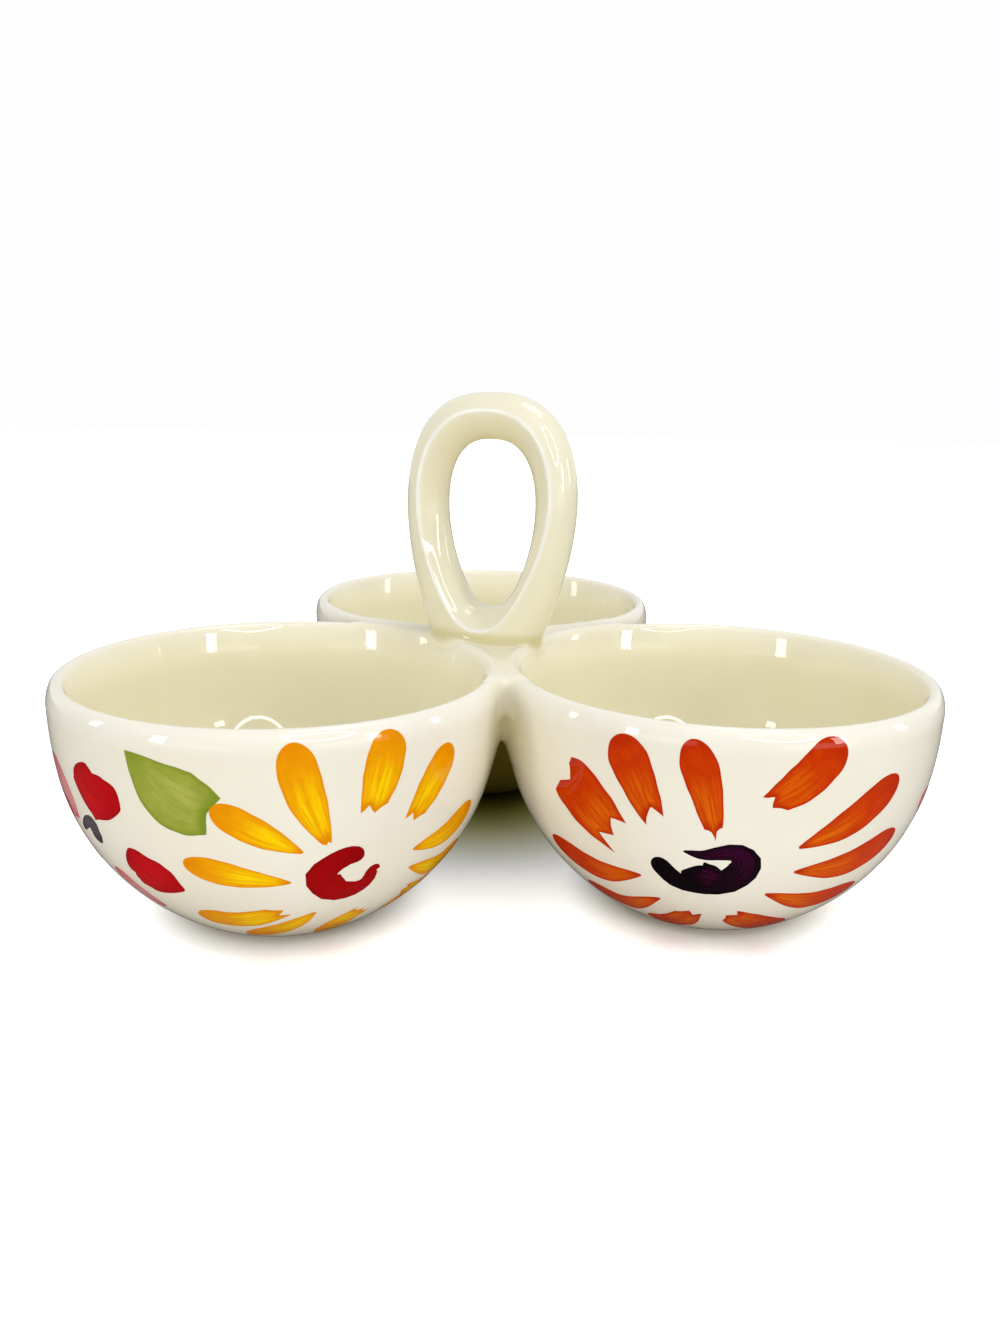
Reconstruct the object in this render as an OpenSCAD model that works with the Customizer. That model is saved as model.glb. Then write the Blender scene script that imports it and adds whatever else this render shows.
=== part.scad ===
// Serving dish of three round bowls, joined by a saddle with an upright ring handle.
// The dish stands on the plane z = 0, with the middle of its outline on the Z axis.
// The rear bowl is on the +Y side, and +X is to the right of someone facing it.

/* [Bowls] */
// Outside radius of each bowl at its rim
bowl_r = 65; // [55:1:75]
// Height of the rims above the table
bowl_h = 74; // [66:1:84]
// Thickness of the fired wall at the rim
wall = 5; // [4:0.5:6]
// Height of the inside floor above the underside of the bowl
floor_t = 5; // [4:0.5:7]
// Gap between two neighbouring rims, which the joint fills
rim_gap = 0.6; // [0.4:0.1:2]

/* [Foot rings] */
// Outside radius of the ring that each bowl stands on
foot_r = 25; // [20:1:30]
// Height of the ring
foot_h = 2; // [1.5:0.5:3]
// Width of the ring's flat standing face
foot_w = 4; // [3:0.5:6]

/* [Saddle and webs] */
// Thickness of the saddle between the three bowls
saddle_t = 10; // [7:0.5:14]
// How far the saddle's top lies below the rims
saddle_drop = 0.6; // [0.4:0.1:1.5]
// How far each joint reaches out past the narrowest place between two bowls
web_reach = 14.5; // [8:0.5:18]
// How far each joint reaches in from that place
web_inward = 8; // [5:0.5:12]
// How far the webs reach down from the rims
web_h = 23; // [16:0.5:30]
// Half of the width within which a web is kept, wider than the crevice that it fills
web_side = 8; // [6:0.5:10]

/* [Handle] */
// Height of the handle's top above the table
handle_top = 153; // [148:1:170]
// Height of the lower edge of the finger hole
hole_low = 84.5; // [82:0.5:95]
// Height of the upper edge of the finger hole
hole_high = 138.5; // [125:0.5:145]
// Greatest width of the finger hole
hole_w = 31; // [26:0.5:38]
// Greatest outside width of the handle
handle_w = 58; // [50:0.5:66]
// Front to back depth of the handle at its top
depth_top = 13.6; // [11:0.2:18]
// Front to back depth of the handle at its root
depth_root = 20; // [18:0.5:28]
// Distance from the edge of the finger hole to the ridge along the handle's front and back
ridge_in = 6.6; // [5:0.2:8]
// Turn of the handle about the vertical, from the line of the two front bowls
handle_turn = -27; // [-45:1:45]
// Shift of the handle along its own width
handle_shift = -2; // [-4:0.5:4]
// How far the handle's outside leans over at its root, along its own width
root_lean = -2; // [-4:0.5:4]

/* [Hidden] */

glaze = [0.93, 0.91, 0.83];
biscuit = [0.85, 0.79, 0.69];
$fn = 96;
crevice_sides = 480;

// Distance from the hub, where the handle stands, to the middle of each bowl
bowl_reach = (2 * bowl_r + rim_gap) / sqrt(3);
// The hub's place, which centres the three bowls on the Z axis
hub_y = -bowl_reach / 4;
left = 210;
right = 330;
rear = 90;

// Roundness of a bowl's outside, outwards and upwards
belly_out = 1.64;
belly_up = 0.72;
// Roundness of its inside
inside_out = 0.58;
inside_up = 1.04;
profile_steps = 26;
rim_steps = 8;
lip = wall / 2;
inside_floor = foot_h + floor_t;
inside_h = bowl_h - lip - inside_floor;

// A point [radius, height] of the outside, at an angle of 0 at the foot and 90 at the rim
function outside_at(a) = [
    foot_r + (bowl_r - foot_r) * pow(sin(a), belly_out),
    bowl_h * (1 - pow(cos(a), belly_up))
];
// The angle at which the outside has a height
function outside_angle(z) = acos(pow(1 - z / bowl_h, 1 / belly_up));
// A point of the inside, at an angle of 0 in the middle of the floor and 90 at the rim
function inside_at(a) = [
    (bowl_r - wall) * pow(sin(a), inside_out),
    inside_floor + inside_h * (1 - pow(cos(a), inside_up))
];

function outside_curve(z_from, z_to) =
    let (a = outside_angle(z_from), b = outside_angle(z_to))
    [for (i = [0 : profile_steps]) outside_at(a + (b - a) * i / profile_steps)];

// The rounded lip from the outside wall up to the crest at 90 degrees, and over it to the inside
function lip_arc(to) = [
    for (i = [1 : rim_steps * to / 180])
        let (a = 180 * i / rim_steps)
        [bowl_r - lip + lip * cos(a), bowl_h - lip + lip * sin(a)]
];

inside_curve = [
    for (i = [profile_steps - 1 : -1 : 0]) inside_at(90 * i / profile_steps)
];

// Puts a shape where a bowl is, at an angle about the hub
module at_bowl(angle) {
    translate([bowl_reach * cos(angle), hub_y + bowl_reach * sin(angle), 0])
        children();
}

module bowl(angle) {
    color(glaze)
        at_bowl(angle)
            rotate_extrude()
                polygon(concat(
                    [[0, foot_h]],
                    outside_curve(foot_h, bowl_h - lip),
                    lip_arc(180),
                    inside_curve
                ));
}

// A bowl's outer shape with its inside filled, which the saddle and the webs are cut to fit
module bowl_form(angle) {
    at_bowl(angle)
        rotate_extrude()
            polygon(concat(
                [[0, foot_h]],
                outside_curve(foot_h, bowl_h - lip),
                lip_arc(90),
                [[0, bowl_h]]
            ));
}

// The unglazed ring under a bowl, whose outside carries the bowl's curve down to the table
module foot_ring(angle) {
    curve_steps = 4;
    ring_in = foot_r - foot_w;
    color(biscuit)
        at_bowl(angle)
            rotate_extrude()
                polygon(concat(
                    [[ring_in, 0]],
                    [for (i = [0 : curve_steps]) outside_at(outside_angle(foot_h * i / curve_steps))],
                    [[ring_in - foot_h / 2, foot_h]]
                ));
}

module all_bowl_forms() {
    bowl_form(left);
    bowl_form(right);
    bowl_form(rear);
}

// Distance from the hub to the narrowest place between two bowls, and to the joint's outer end
neck = bowl_reach / 2;
joint_end = neck + web_reach;
saddle_top = bowl_h - saddle_drop;
saddle_low = saddle_top - saddle_t;

// The plate in the middle of the three bowls, with a point between each two of them
module saddle() {
    color(glaze)
        difference() {
            translate([0, hub_y, saddle_low])
                cylinder(r = joint_end, h = saddle_t);
            all_bowl_forms();
        }
}

// The clay that fills the crevice under the saddle between two bowls. The crevice is so thin that
// the round bowls need many more sides here than elsewhere.
module web(angle) {
    web_low = bowl_h - web_h;
    $fn = crevice_sides;
    color(glaze)
        difference() {
            intersection() {
                translate([0, hub_y, web_low])
                    cylinder(r = joint_end, h = saddle_low - web_low);
                translate([0, hub_y, web_low])
                    rotate([0, 0, angle])
                        translate([neck - web_inward, -web_side, 0])
                            cube([web_inward + web_reach + web_side, 2 * web_side, saddle_low - web_low]);
            }
            all_bowl_forms();
        }
}

// The handle is an upright ring. Its finger hole and its outside are two egg-shaped curves, and
// its section at each turn is round between them, deepest along a ridge near the hole.
// Its root is cut to stand on the saddle and beside the rims round it.
egg_power = 0.806;
hole_taper = 0.19;
outside_taper = 0.29;
// The outside curve runs on below the saddle's top, where the handle's root is cut off flat
root_depth = 19;
root_low = bowl_h - root_depth;
cut_margin = 4;
turn_steps = 64;
section_steps = 20;

// A point [across, height] of an egg, at an angle of 0 at its lowest point
function egg(t, w, taper, low, high) = [
    w / 2 * sign(sin(t)) * pow(abs(sin(t)), egg_power) * (1 - taper * cos(t)),
    (low + high) / 2 - (high - low) / 2 * cos(t)
];
// The width that an egg needs before its taper, for its greatest width to come out right
function egg_width(w, taper) = w / max([for (t = [0 : 2 : 180]) egg(t, 2, taper, 0, 1)[0]]);

hole_egg = egg_width(hole_w, hole_taper);
outside_egg = egg_width(handle_w, outside_taper);

// A point [across, depth, height] of the handle's skin: t goes round the ring, s round its section
function handle_skin(t, s) =
    let (
        lowness = (1 + cos(t)) / 2,
        hole = egg(t, hole_egg, hole_taper, hole_low, hole_high),
        lean = [root_lean * lowness * lowness, 0],
        outer = lean + egg(t, outside_egg, outside_taper, root_low, handle_top),
        out = outer - hole,
        ridge = hole + out * ridge_in / norm(out),
        side = cos(s) > 0 ? outer - ridge : ridge - hole,
        depth = (depth_top + (depth_root - depth_top) * lowness) / 2,
        p = ridge + side * cos(s)
    )
    [p[0], depth * sin(s), p[1]];

handle_points = [
    for (i = [0 : turn_steps - 1])
        for (j = [0 : section_steps - 1])
            handle_skin(360 * i / turn_steps, 360 * j / section_steps)
];

function skin_index(i, j) = (i % turn_steps) * section_steps + j % section_steps;

handle_faces = [
    for (i = [0 : turn_steps - 1])
        for (j = [0 : section_steps - 1])
            for (face = [
                [skin_index(i, j), skin_index(i + 1, j), skin_index(i + 1, j + 1)],
                [skin_index(i, j), skin_index(i + 1, j + 1), skin_index(i, j + 1)]
            ])
                face
];

module handle_loop() {
    cut = handle_w + cut_margin;
    color(glaze)
        difference() {
            translate([0, hub_y, 0])
                rotate([0, 0, handle_turn])
                    translate([handle_shift, 0, 0])
                        polyhedron(handle_points, handle_faces);
            translate([-cut / 2, hub_y - cut / 2, saddle_top - cut])
                cube(cut);
            all_bowl_forms();
        }
}

bowl(left);  // bowl_left
bowl(right);  // bowl_right
bowl(rear);  // bowl_rear
foot_ring(left);  // foot_ring_left
foot_ring(right);  // foot_ring_right
foot_ring(rear);  // foot_ring_rear
saddle();
web(270);  // web_front
web(150);  // web_left
web(30);  // web_right
handle_loop();
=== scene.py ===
import math
import random

import bmesh
import bpy
import numpy as np
from mathutils import Matrix, Vector
from mathutils.bvhtree import BVHTree


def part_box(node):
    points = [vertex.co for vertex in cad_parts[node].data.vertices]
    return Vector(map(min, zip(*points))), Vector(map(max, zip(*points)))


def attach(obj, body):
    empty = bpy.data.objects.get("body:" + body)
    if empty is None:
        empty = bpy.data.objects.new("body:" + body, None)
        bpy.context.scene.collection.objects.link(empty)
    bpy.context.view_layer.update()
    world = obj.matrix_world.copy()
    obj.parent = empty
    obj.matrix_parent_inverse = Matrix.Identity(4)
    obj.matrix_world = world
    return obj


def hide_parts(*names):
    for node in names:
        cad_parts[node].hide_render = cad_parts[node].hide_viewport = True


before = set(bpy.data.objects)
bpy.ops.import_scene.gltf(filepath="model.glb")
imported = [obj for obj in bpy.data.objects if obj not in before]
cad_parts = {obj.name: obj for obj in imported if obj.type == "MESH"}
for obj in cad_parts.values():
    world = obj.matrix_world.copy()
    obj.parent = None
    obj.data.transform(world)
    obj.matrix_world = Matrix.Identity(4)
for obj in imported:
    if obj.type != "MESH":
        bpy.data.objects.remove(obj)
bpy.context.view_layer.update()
mm = 0.001
print("frame loaded")

# The dish stands on z = 0. Its three bowls are round a hub, where the handle stands.
bowlNames = ["left", "right", "rear"]


def bowlAxis(name):
    low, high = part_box("bowl_" + name)
    return Vector(((low.x + high.x) / 2, (low.y + high.y) / 2))


leftLow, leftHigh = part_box("bowl_left")
ringLow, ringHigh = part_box("foot_ring_left")
handleLow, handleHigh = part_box("handle_loop")

bowlShape = {
    "radius": (leftHigh.x - leftLow.x) / 2,
    "height": leftHigh.z,
    "wall": 5 * mm,
    "floor": 5 * mm,
    "footRadius": 25 * mm,
    "footHeight": ringHigh.z,
    "footWidth": 4 * mm,
    "bellyOut": 1.64,
    "bellyUp": 0.72,
    "insideOut": 0.58,
    "insideUp": 1.04,
    "lipOut": 3.0 * mm,
    "lipOutDeep": 6.5 * mm,
    "lipInDeep": 2.5 * mm,
    "flareDepths": (1.5, 2, 2.5, 3, 4, 6, 9, 12, 26, 30, 34, 38, 46, 50),
    "flareSlopes": (0, 0.14, 0.26, 0.25, 0.21, 0.165, 0.11, -0.085, -0.085, 0, 0.02, 0.08, 0.08, 0),
    "flareStep": 0.05,
    "outsideSteps": 56,
    "lipSteps": 28,
    "insideSteps": 48,
    "turnSteps": 256,
}
axes = {name: bowlAxis(name) for name in bowlNames}
hub = (axes["left"] + axes["right"] + axes["rear"]) / 3
bowlReach = (axes["rear"] - hub).length

# Lengths within which points are joined or cut at, and the least that anything is divided by
mergeWithin = 0.002 * mm
cutWithin = 0.001 * mm
tiny = 1e-9


def newObject(name, bm, smooth=True):
    mesh = bpy.data.meshes.new(name)
    bm.to_mesh(mesh)
    bm.free()
    if smooth:
        mesh.shade_smooth()
    piece = bpy.data.objects.new(name, mesh)
    bpy.context.scene.collection.objects.link(piece)
    return piece


def treeOf(piece):
    mesh = piece.data
    return BVHTree.FromPolygons([v.co for v in mesh.vertices], [f.vertices for f in mesh.polygons])


def spinRound(bm, axis, steps, middle=(0, 0, 0)):
    # Spins the whole outline once round an axis, and joins its ends
    bmesh.ops.spin(
        bm, geom=list(bm.verts) + list(bm.edges), cent=middle, axis=axis, dvec=(0, 0, 0),
        angle=2 * math.pi, steps=steps, use_merge=True, use_duplicate=False,
    )


def cutAway(bm, place, normal):
    # Cuts off what lies on the normal's side of a plane, and closes the cut
    cut = bmesh.ops.bisect_plane(
        bm, geom=list(bm.verts) + list(bm.edges) + list(bm.faces), dist=cutWithin,
        plane_co=place, plane_no=normal, clear_outer=True,
    )
    edges = [e for e in cut["geom_cut"] if isinstance(e, bmesh.types.BMEdge)]
    bmesh.ops.holes_fill(bm, edges=edges, sides=0)


def extrudeFaces(bm, faces):
    # Pulls a copy off the faces, which stay, and gives the copy's vertices
    grown = bmesh.ops.extrude_face_region(bm, geom=faces, use_keep_orig=True)["geom"]
    return [v for v in grown if isinstance(v, bmesh.types.BMVert)]


def placePiece(piece, replaced=()):
    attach(piece, "root")
    if replaced:
        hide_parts(*replaced)
    return piece


# Bowl: a spun profile, from the underside over the lip to the inside floor
def outsideAt(angle):
    s = bowlShape
    out = (s["radius"] - s["footRadius"]) * math.sin(angle) ** s["bellyOut"]
    up = s["height"] * (1 - max(math.cos(angle), 0) ** s["bellyUp"])
    return s["footRadius"] + out, up


def outsideAngle(z):
    return math.acos((1 - z / bowlShape["height"]) ** (1 / bowlShape["bellyUp"]))


def flareIn(depth):
    # How much thicker the wall is at a depth below the rim, where its inner face leans a little outwards
    s = bowlShape
    depths = np.arange(0, max(depth, 0) / mm, s["flareStep"])
    return float(np.interp(depths, s["flareDepths"], s["flareSlopes"]).sum()) * s["flareStep"] * mm


def insideAt(angle):
    s = bowlShape
    bottom = s["footHeight"] + s["floor"]
    top = s["height"] - s["lipInDeep"]
    out = (s["radius"] - s["wall"]) * math.sin(angle) ** s["insideOut"]
    up = bottom + (top - bottom) * (1 - max(math.cos(angle), 0) ** s["insideUp"])
    return max(out - flareIn(s["height"] - up), 0), up


def lipAt(angle):
    # The lip is a soft shoulder outside, and rounder inside
    s = bowlShape
    outward = angle <= math.pi / 2
    deep = s["lipOutDeep"] if outward else s["lipInDeep"]
    reach = s["lipOut"] if outward else s["wall"] - s["lipOut"]
    up = s["height"] - deep * (1 - math.sin(angle))
    r = s["radius"] - s["lipOut"] + reach * math.cos(angle)
    return r if outward else r - flareIn(s["height"] - up), up


def bowlProfile():
    s = bowlShape
    start = outsideAngle(s["footHeight"])
    end = outsideAngle(s["height"] - s["lipOutDeep"])
    steps = s["outsideSteps"]
    points = [(0, s["footHeight"]), (s["footRadius"] / 2, s["footHeight"])]
    points += [outsideAt(start + (end - start) * i / steps) for i in range(steps + 1)]
    points += [lipAt(math.pi * i / s["lipSteps"]) for i in range(1, s["lipSteps"] + 1)]
    steps = s["insideSteps"]
    points += [insideAt(math.pi / 2 * i / steps) for i in range(steps - 1, -1, -1)]
    return points


def spinProfile(name, points, axis, closed=False):
    bm = bmesh.new()
    verts = [bm.verts.new((axis.x + r, axis.y, z)) for r, z in points]
    for pair in zip(verts, verts[1:] + verts[:1] if closed else verts[1:]):
        bm.edges.new(pair)
    spinRound(bm, (0, 0, 1), bowlShape["turnSteps"], (axis.x, axis.y, 0))
    bmesh.ops.remove_doubles(bm, verts=bm.verts, dist=mergeWithin)
    bmesh.ops.recalc_face_normals(bm, faces=bm.faces)
    return newObject(name, bm)


profile = np.array(bowlProfile())
insideStart = bowlShape["outsideSteps"] + 3 + bowlShape["lipSteps"] // 2  # The profile's point at the crest

# Where the glaze changes its colour
glazeMask = {
    "insideFrom": 0.62,
    "insideOver": 0.3,
    "rimDeep": 7 * mm,
    # Painted shade low between the bowls: full near the hub and low down, and reaching further round the rear
    # bowl
    "gapShadeNear": 24 * mm,
    "gapShadeRear": 20 * mm,
    "gapShadeFar": 52 * mm,
    "gapShadeLow": 46 * mm,
    "gapShadeHigh": 66 * mm,
    "topNear": 5 * mm,
    "topLow": 66 * mm,
    "topHigh": 72 * mm,
    # Painted shade down the crevices between the bowls, below the rim
    "creaseReach": 9 * mm,
    "creaseLow": 14 * mm,
    "creaseHigh": 3 * mm,
    "rootLow": 2 * mm,
    "rootHigh": 10 * mm,
    # Painted shade where the handle's foot meets the saddle, and a painted highlight on the line of glaze
    # beside it
    "shadeHigh": 4.6 * mm,
    "shadeLow": 1.8 * mm,
    "shadeWide": 1.6 * mm,
    "junctionHighlightAt": 2.0 * mm,
    "junctionHighlightWide": 0.8 * mm,
    "junctionHighlightHigh": 2.5 * mm,
    "shadeFull": 0.2 * mm,
    "tintReach": 4 * mm,
    "tintDeep": 6 * mm,
}


def smoothStep(values, start, end):
    share = np.clip((values - start) / (end - start), 0, 1)
    return share * share * (3 - 2 * share)


def addGlazeMasks(piece, names, closeTo=None):
    # Attributes from 0 to 1: "inside" on the named bowls' inner walls, "rim" at a lip's crest, "handleTint"
    # near closeTo, "gapShade", a painted shade low between the bowls, "creaseShade", a painted shade down a
    # crevice between two of them, "saddleTint" on top of the joints and at the handle's root, "rootShade", a
    # painted shade where the handle's foot meets the saddle, and "junctionHighlight", a painted highlight on
    # the line of glaze just beside it
    count = len(piece.data.vertices)
    co = np.empty(count * 3)
    piece.data.vertices.foreach_get("co", co)
    co = co.reshape(-1, 3)
    z = co[:, 2]
    outer = profile[2:insideStart]
    inner = profile[insideStart:][::-1]
    outR = np.interp(z, outer[:, 1], outer[:, 0])
    inR = np.interp(z, inner[:, 1], inner[:, 0], left=0)
    spread = np.hypot(co[:, 0] - hub.x, co[:, 1] - hub.y)
    m = glazeMask
    gaps = [np.hypot(co[:, 0] - axes[name].x, co[:, 1] - axes[name].y) - outR for name in bowlNames]
    second = np.sort(np.stack(gaps), axis=0)[1]
    # Painted shade down a crevice between two bowls
    creaseShade = np.exp(-np.maximum(second, 0) / m["creaseReach"])
    creaseShade *= smoothStep(bowlShape["height"] - z, m["creaseHigh"], m["creaseLow"])
    top = np.exp(-np.maximum(second, 0) / m["topNear"]) * smoothStep(z, m["topLow"], m["topHigh"])
    if not names:
        top = smoothStep(z - bowlShape["height"], m["rootHigh"], m["rootLow"])
    # Painted shade low between the bowls, where they face each other
    if names == ["rear"]:
        spread = spread - m["gapShadeRear"]
    gapShade = smoothStep(spread, m["gapShadeFar"], m["gapShadeNear"])
    gapShade *= smoothStep(z, m["gapShadeHigh"], m["gapShadeLow"])
    inside = np.zeros(count)
    for name in names:
        r = np.hypot(co[:, 0] - axes[name].x, co[:, 1] - axes[name].y)
        share = np.clip((outR - r) / np.maximum(outR - inR, mm), 0, 1)
        inside = np.maximum(inside, np.clip((share - m["insideFrom"]) / m["insideOver"], 0, 1))
    rim = np.clip(1 - (bowlShape["height"] - z) / m["rimDeep"], 0, 1)
    far = np.full(count, 1.0)
    if closeTo:
        for i in np.nonzero(z > bowlShape["height"] - m["tintDeep"])[0]:
            far[i] = closeTo.find_nearest(Vector(co[i]))[3]
    tint = np.clip(1 - far / m["tintReach"], 0, 1)
    high = z - bowlShape["height"]
    # Painted shade at the handle's foot, and a painted highlight on the line of glaze beside it
    shade = smoothStep(far, m["shadeWide"], m["shadeFull"]) * smoothStep(high, m["shadeHigh"], m["shadeLow"])
    junctionHighlight = np.exp(-((far - m["junctionHighlightAt"]) / m["junctionHighlightWide"]) ** 2)
    junctionHighlight *= np.abs(high) < m["junctionHighlightHigh"]
    masks = {
        "inside": inside, "rim": rim, "handleTint": tint, "gapShade": gapShade, "creaseShade": creaseShade,
        "saddleTint": top, "rootShade": shade, "junctionHighlight": junctionHighlight,
    }
    for key, values in masks.items():
        attribute = piece.data.attributes.new(key, "FLOAT", "POINT")
        attribute.data.foreach_set("value", values.astype(np.float32))


bowls = {}
for name in bowlNames:
    piece = spinProfile("bowl" + name.capitalize(), bowlProfile(), axes[name])
    addGlazeMasks(piece, [name])
    bowls[name] = placePiece(piece, ["bowl_" + name])
print("bowls spun")

# Foot ring: unglazed, with softened edges and a small step where the glaze stops
footEdge = {"round": 0.35 * mm, "glazeStep": 0.12 * mm, "steps": 6}


def footProfile():
    s = bowlShape
    step = footEdge["glazeStep"]
    soft = footEdge["round"]
    ringIn = s["footRadius"] - s["footWidth"]
    steps = footEdge["steps"]
    outer = [outsideAt(outsideAngle(s["footHeight"] * i / steps)) for i in range(1, steps + 1)]
    points = [(ringIn + soft, 0), (s["footRadius"] - soft, 0), (s["footRadius"] - 0.3 * soft, 0.3 * soft)]
    points += [(r - step, z) for r, z in outer]
    points += [(ringIn - s["footHeight"] / 2, s["footHeight"]), (ringIn - 0.2 * soft, 0.4 * soft)]
    return points


for name in bowlNames:
    ring = spinProfile("footRing" + name.capitalize(), footProfile(), axes[name], closed=True)
    placePiece(ring, ["foot_ring_" + name])
print("foot rings spun")

# Handle: an upright ring between two egg-shaped curves, with a ridge round the finger hole
handleShape = {
    "top": handleHigh.z,
    "holeLow": 84.5 * mm,
    "holeHigh": 138.5 * mm,
    "holeWidth": 31 * mm,
    "width": 58 * mm,
    "depthTop": 13.6 * mm,
    "depthRoot": 20 * mm,
    "ridgeIn": 6.6 * mm,
    "ridgeRise": 2.4 * mm,
    "turn": -27,
    "shift": -2 * mm,
    "rootLean": -2 * mm,
    "rootDepth": 19 * mm,
    "eggPower": 0.806,
    "holeTaper": 0.19,
    "outsideTaper": 0.29,
    "outerSharp": 1.15,
    "holeSharp": 1.85,
    "bead": 0.34 * mm,
    "beadWide": 1.0 * mm,
    "ridgeWide": 0.65 * mm,
    "ridgeFade": 3,
    "holeShadeFade": 0.7,
    "turnSteps": 160,
    "sectionSteps": 96,
    "cutBelow": 3 * mm,
}
saddleTop = handleLow.z


def egg(t, wide, taper, low, high):
    across = wide / 2 * math.copysign(abs(math.sin(t)) ** handleShape["eggPower"], math.sin(t))
    return Vector((across * (1 - taper * math.cos(t)), (low + high) / 2 - (high - low) / 2 * math.cos(t)))


def eggWidth(wide, taper):
    return wide / max(egg(math.radians(t), 2, taper, 0, 1).x for t in range(0, 181, 2))


holeEgg = eggWidth(handleShape["holeWidth"], handleShape["holeTaper"])
outsideEgg = eggWidth(handleShape["width"], handleShape["outsideTaper"])


def handleSkin(t, s):
    h = handleShape
    lowness = (1 + math.cos(t)) / 2
    hole = egg(t, holeEgg, h["holeTaper"], h["holeLow"], h["holeHigh"])
    lean = Vector((h["rootLean"] * lowness ** 2, 0))
    outer = lean + egg(t, outsideEgg, h["outsideTaper"], bowlShape["height"] - h["rootDepth"], h["top"])
    out = outer - hole
    ridge = hole + out * ((h["ridgeIn"] + h["ridgeRise"] * (1 - lowness) ** h["ridgeFade"]) / out.length)
    outward = math.cos(s) > 0
    side = outer - ridge if outward else ridge - hole
    depth = (h["depthTop"] + (h["depthRoot"] - h["depthTop"]) * lowness) / 2
    reach = math.copysign(abs(math.cos(s)) ** h["outerSharp" if outward else "holeSharp"], math.cos(s))
    place = ridge + side * reach
    bead = h["bead"] * math.exp(-(side.length * reach / h["beadWide"]) ** 2)
    # The whiter line along the ridge: glaze thinned on the sharp edge, and partly a painted highlight
    ridgeShare = math.exp(-(side.length * reach / h["ridgeWide"]) ** 2)
    # Painted shade on the finger hole's inner face, strongest under the top of the ring, where it faces down
    holeShare = max(-reach, 0) ** h["holeShadeFade"] * (1 - lowness) ** 2
    outwards = depth * math.sin(s) + math.copysign(bead, math.sin(s))
    return Vector((place.x, outwards, place.y)), ridgeShare, holeShare


def buildHandle():
    # A torus about the Y axis, whose two angles then place each vertex on the handle's skin
    h = handleShape
    bm = bmesh.new()
    # The "ridge" layer carries the whiter line along the ridge, partly a painted highlight, and the "hole"
    # layer carries the painted shade inside the finger hole
    ridge = bm.verts.layers.float.new("ridge")
    hole = bm.verts.layers.float.new("hole")
    ringOf = 3.0
    section = bmesh.ops.create_circle(bm, segments=h["sectionSteps"], radius=1)["verts"]
    bmesh.ops.translate(bm, verts=section, vec=(ringOf, 0, 0))
    spinRound(bm, (0, 1, 0), h["turnSteps"])
    for v in bm.verts:
        t = math.atan2(v.co.x, v.co.z)
        s = math.atan2(v.co.y, math.hypot(v.co.x, v.co.z) - ringOf)
        v.co, v[ridge], v[hole] = handleSkin(math.pi - t, s)
    turned = Matrix.Translation((hub.x, hub.y, 0)) @ Matrix.Rotation(math.radians(h["turn"]), 4, "Z")
    bmesh.ops.transform(bm, verts=bm.verts, matrix=turned @ Matrix.Translation((h["shift"], 0, 0)))
    cutAway(bm, (0, 0, saddleTop - h["cutBelow"]), (0, 0, -1))
    bmesh.ops.recalc_face_normals(bm, faces=bm.faces)
    return newObject("handleRing", bm)


handlePiece = placePiece(buildHandle(), ["handle_loop"])
handleTree = treeOf(handlePiece)
print("handle formed")

# Saddle and webs: the clay that flows between the rims, the handle's root and the crevices.
# A blank is joined and remeshed, then every vertex is drawn onto a softly blended surface.
jointShape = {
    "plateThick": 10 * mm,
    "plateTop": saddleTop + 0.25 * mm,
    "plateReach": 14.5 * mm,
    "plateSteps": 360,
    "underLip": 2.3 * mm,
    "voxel": 0.62 * mm,
    "bowlBlend": 9.4 * mm,
    "plateBlend": 4.5 * mm,
    "rootBlend": 3.2 * mm,
    "edgeRound": 5 * mm,
    "keepOut": 34 * mm,
    "keepAbove": 45 * mm,
    "keepHandle": 83 * mm,
    "finAngles": (270, 150, 30),
    "finReach": 13 * mm,
    "finDeep": 21 * mm,
    "finThick": 3.6 * mm,
    "finTop": 1.4 * mm,
    "finSteps": 64,
    "sink": 0.14 * mm,
    "merge": 0.012 * mm,
    "longestStep": 1.5 * mm,
    "leastSlope": 0.3,
    "wallBelow": 12 * mm,
    "rounds": 6,
    "smoothRounds": 4,
    "smoothBy": 0.5,
}
neck = bowlReach / 2
plateRadius = neck + jointShape["plateReach"]


def softMin(a, b, size, gradA, gradB):
    # The smaller of two distances, with a soft corner where they are nearly equal
    h = np.maximum(size - np.abs(a - b), 0) / size
    low = np.minimum(a, b) - h ** 3 * size / 6
    weight = np.where(a < b, h * h / 2, 1 - h * h / 2)[:, None]
    return low, gradA * (1 - weight) + gradB * weight


def bowlDistance(co, name):
    # Distance to the spun wall, worked out in the half plane through the bowl's axis
    dx = co[:, 0] - axes[name].x
    dy = co[:, 1] - axes[name].y
    r = np.maximum(np.hypot(dx, dy), tiny)
    z = co[:, 2]
    outline = np.vstack([profile, [[0, profile[-1, 1]]]])
    best = np.full(len(co), 1.0)
    nearR = np.zeros(len(co))
    nearZ = np.zeros(len(co))
    within = np.zeros(len(co), bool)
    for (ar, az), (br, bz) in zip(outline, np.vstack([outline[1:], outline[:1]])):
        er, ez = br - ar, bz - az
        long = er * er + ez * ez
        if long == 0:
            continue
        crosses = ((az > z) != (bz > z))
        if abs(ez) > 0:
            within ^= crosses & (r < ar + (z - az) * er / ez)
        if max(az, bz) < jointShape["keepAbove"] - jointShape["wallBelow"]:
            continue
        t = np.clip(((r - ar) * er + (z - az) * ez) / long, 0, 1)
        pr, pz = ar + t * er, az + t * ez
        d = np.hypot(r - pr, z - pz)
        closer = d < best
        best = np.where(closer, d, best)
        nearR = np.where(closer, pr, nearR)
        nearZ = np.where(closer, pz, nearZ)
    sign = np.where(within, -1.0, 1.0)
    safe = np.maximum(best, tiny)
    gr = sign * (r - nearR) / safe
    gz = sign * (z - nearZ) / safe
    return sign * best, np.stack([gr * dx / r, gr * dy / r, gz], 1)


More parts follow.
